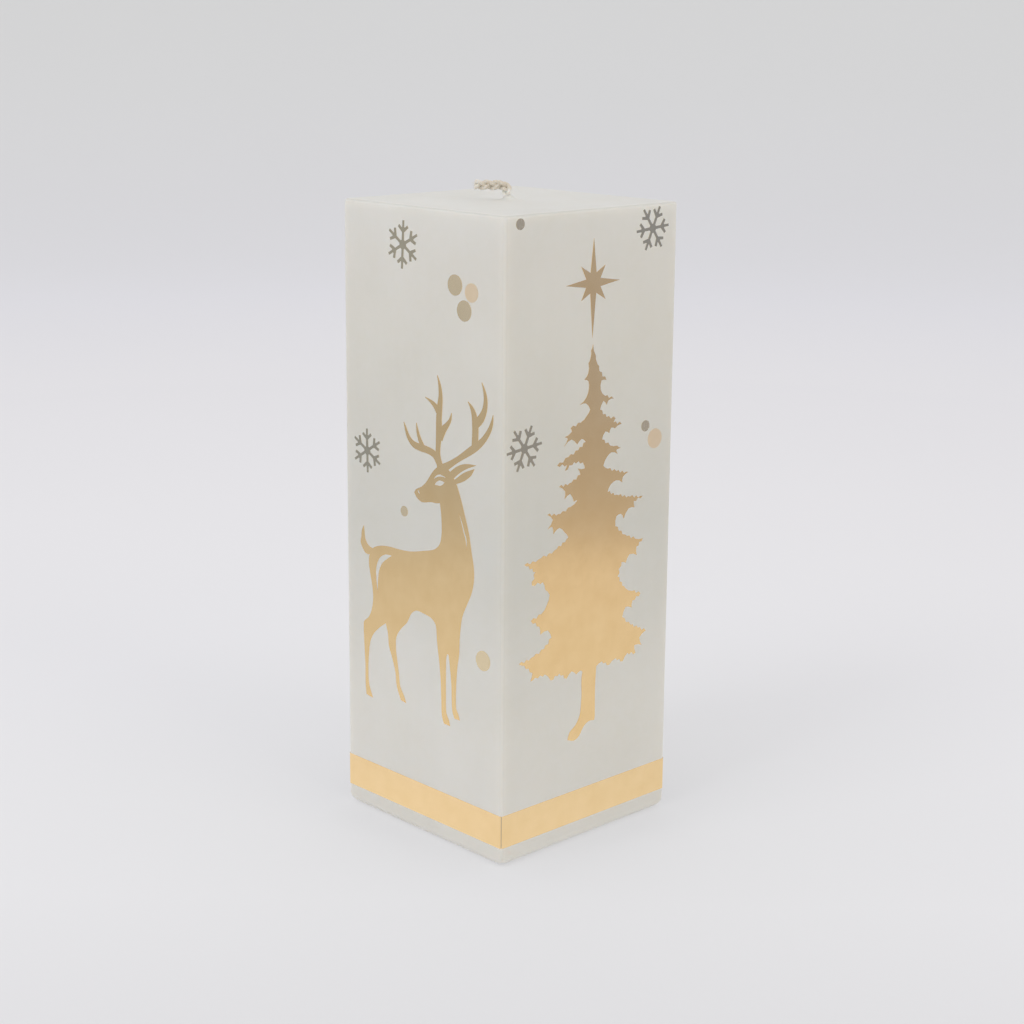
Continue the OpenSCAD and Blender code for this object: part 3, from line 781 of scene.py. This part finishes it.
# Sheets that the foil is cut from: colour, deeper colour, roughness, depth of the wrinkles
SHEETS = {
    "foil": ((0.99, 0.72, 0.385), (0.95, 0.675, 0.345), 0.12, 0.03 * MM),
    "band_foil": ((1.0, 0.745, 0.425), (0.97, 0.71, 0.385), 0.18, 0.06 * MM),
    "champagne_foil": ((0.93, 0.77, 0.52), (0.89, 0.73, 0.48), 0.2, 0.03 * MM),
    "antique_foil": ((0.60, 0.545, 0.41), (0.55, 0.50, 0.375), 0.2, 0.03 * MM),
    "dull_foil": ((0.77, 0.67, 0.475), (0.73, 0.63, 0.44), 0.25, 0.03 * MM),
    "pale_foil": ((0.93, 0.79, 0.60), (0.89, 0.75, 0.55), 0.7, 0.05 * MM),
}
DULL_DOTS = ("dot_right_1", "dot_left_1", "dot_right_2", "dot_left_2")
CUT_EDGE = 0.03 * MM


def sheet_of(name):
    """The sheet that a foil piece is cut from. The third dot of every face is pale."""
    if name.startswith("band"):
        return "band_foil"
    if name.startswith("snowflake"):
        return "antique_foil"
    if name in DULL_DOTS:
        return "dull_foil"
    if name.startswith("dot"):
        return "pale_foil" if name.endswith("_3") else "champagne_foil"
    return "foil"


def dress_foil():
    """Gives every foil piece its metal, and softens its cut edge."""
    metals = {name: foil_material(name, *look) for name, look in SHEETS.items()}
    for name, node in sorted(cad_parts.items()):
        if name.startswith(("candle_body", "wick")):
            continue
        for slot in node.material_slots:
            slot.material = metals[sheet_of(name)]
        # Real foil is far thinner than this and leaves no shade on the wax beside it
        node.visible_shadow = False
        node.visible_diffuse = False
        edge = node.modifiers.new("edge", "BEVEL")
        edge.width = CUT_EDGE
        edge.segments = 2
        edge.limit_method = "ANGLE"
        edge.angle_limit = math.radians(50)


# ---- Stage and light ----

# The sweep: radius of its flat floor, radius of its curve and height of its wall, then its rings on
# the floor and in the curve, and the points round each ring
SWEEP_FLAT = 1.3
SWEEP_CURVE = 0.7
SWEEP_WALL = 1.0
SWEEP_FLAT_RINGS = 8
SWEEP_CURVE_RINGS = 12
SWEEP_POINTS = 96


def sweep():
    """A round pale floor that curves up into a wall on all sides."""
    outline = [(SWEEP_FLAT * i / SWEEP_FLAT_RINGS, 0.0) for i in range(1, SWEEP_FLAT_RINGS + 1)]
    for i in range(1, SWEEP_CURVE_RINGS + 1):
        a = i / SWEEP_CURVE_RINGS * math.pi / 2
        outline.append((SWEEP_FLAT + SWEEP_CURVE * math.sin(a), SWEEP_CURVE * (1 - math.cos(a))))
    outline.append((SWEEP_FLAT + SWEEP_CURVE, SWEEP_CURVE + SWEEP_WALL))
    points = []
    for r, z in outline:
        points += circle_points(r, z, SWEEP_POINTS)
    faces = ring_faces(len(outline), SWEEP_POINTS, False)
    middle = len(points)
    points.append(Vector((0, 0, 0)))
    faces += [(i, (i + 1) % SWEEP_POINTS, middle) for i in range(SWEEP_POINTS)]
    floor = make_object("sweep", points, faces, math.radians(60))
    floor.data.materials.append(paper_material())


CARD_HOLE = 0.02
CARD_RADIUS = 0.75
CARD_TOP = 0.6
CARD_LIFT = 0.3 * MM
CARD_POINTS = 64
# Brightness of the card, from its middle out along the floor and then up, on the reindeer's side
# and on the spruce's side: distance in metres, colour
REINDEER_TONES = [
    (0.0, (0.94, 0.91, 0.88)), (0.12, (0.77, 0.77, 0.77)), (0.2, (0.69, 0.70, 0.72)),
    (0.3, (0.63, 0.64, 0.67)), (0.4, (0.51, 0.53, 0.58)), (0.52, (0.44, 0.47, 0.54)),
    (0.72, (0.43, 0.46, 0.52)), (0.85, (0.53, 0.54, 0.57)), (1.2, (0.55, 0.56, 0.6)),
]
SPRUCE_TONES = [
    (0.0, (0.77, 0.77, 0.76)), (0.23, (0.74, 0.73, 0.73)), (0.31, (0.72, 0.70, 0.70)),
    (0.34, (0.68, 0.66, 0.66)), (0.375, (0.56, 0.54, 0.56)), (0.42, (0.50, 0.49, 0.52)),
    (0.5, (0.45, 0.45, 0.50)), (0.8, (0.40, 0.42, 0.52)), (1.2, (0.46, 0.47, 0.52)),
]
# The two sides of the card blend where X + Y is this near to 0
CARD_BLEND = 0.12


def card_material():
    """Glow of the mirror card: one run of tones on the reindeer's side and one on the spruce's."""
    s = Shader("card")
    whole = CARD_RADIUS + CARD_TOP
    reindeer, spruce = [s.tones_outwards(tones, whole) for tones in (REINDEER_TONES, SPRUCE_TONES)]
    side = s.span(s.math("ADD", s.axis("X"), s.axis("Y")), -CARD_BLEND, CARD_BLEND)
    glow = s.add("ShaderNodeEmission", {"Color": s.mix(side, reindeer, spruce)})
    s.links.new(glow.outputs[0], s.nodes["Material Output"].inputs["Surface"])
    s.nodes.remove(s.surface)
    return s.material


def mirror_card():
    """A graded card under and round the set that only mirror-like rays see: it is what the foil mirrors."""
    outline = [(CARD_HOLE, CARD_LIFT), (CARD_RADIUS, CARD_LIFT), (CARD_RADIUS, CARD_TOP)]
    points = []
    for r, z in outline:
        points += circle_points(r, z, CARD_POINTS)
    card = make_object("mirror_card", points, ring_faces(len(outline), CARD_POINTS, False))
    card.data.materials.append(card_material())
    card.visible_camera = False
    card.visible_diffuse = False
    card.visible_shadow = False
    card.visible_transmission = False
    card.visible_volume_scatter = False


def area_light(name, place, size, power, colour):
    """A round soft light, turned to the middle of the candle."""
    data = bpy.data.lights.new(name, "AREA")
    data.shape = "DISK"
    data.size = size
    data.energy = power
    data.color = colour
    lamp = bpy.data.objects.new(name, data)
    lamp.location = place
    aim = Vector((0, 0, HEIGHT / 2)) - lamp.location
    lamp.rotation_mode = "QUATERNION"
    lamp.rotation_quaternion = aim.to_track_quat("-Z", "Y")
    bpy.context.scene.collection.objects.link(lamp)


def lights():
    """An even pale room, a soft key before the reindeer's face and a warmer fill before the spruce's."""
    world = bpy.data.worlds.new("room")
    world.use_nodes = True
    room = world.node_tree.nodes["Background"].inputs
    room["Color"].default_value = rgb(0.985, 0.985, 1.0)
    room["Strength"].default_value = 0.79
    bpy.context.scene.world = world
    area_light("key", place=(-0.05, -1.35, 1.3), size=0.8, power=7.0, colour=(0.97, 0.98, 1.0))
    area_light("fill", place=(1.4, 0.1, 0.95), size=0.8, power=3.6, colour=(1.0, 0.95, 0.80))
    bpy.context.scene.view_settings.view_transform = "Standard"


add_camera()
sweep()
mirror_card()
lights()
wax_block()
plaited_wick()
sustainer()
dress_foil()
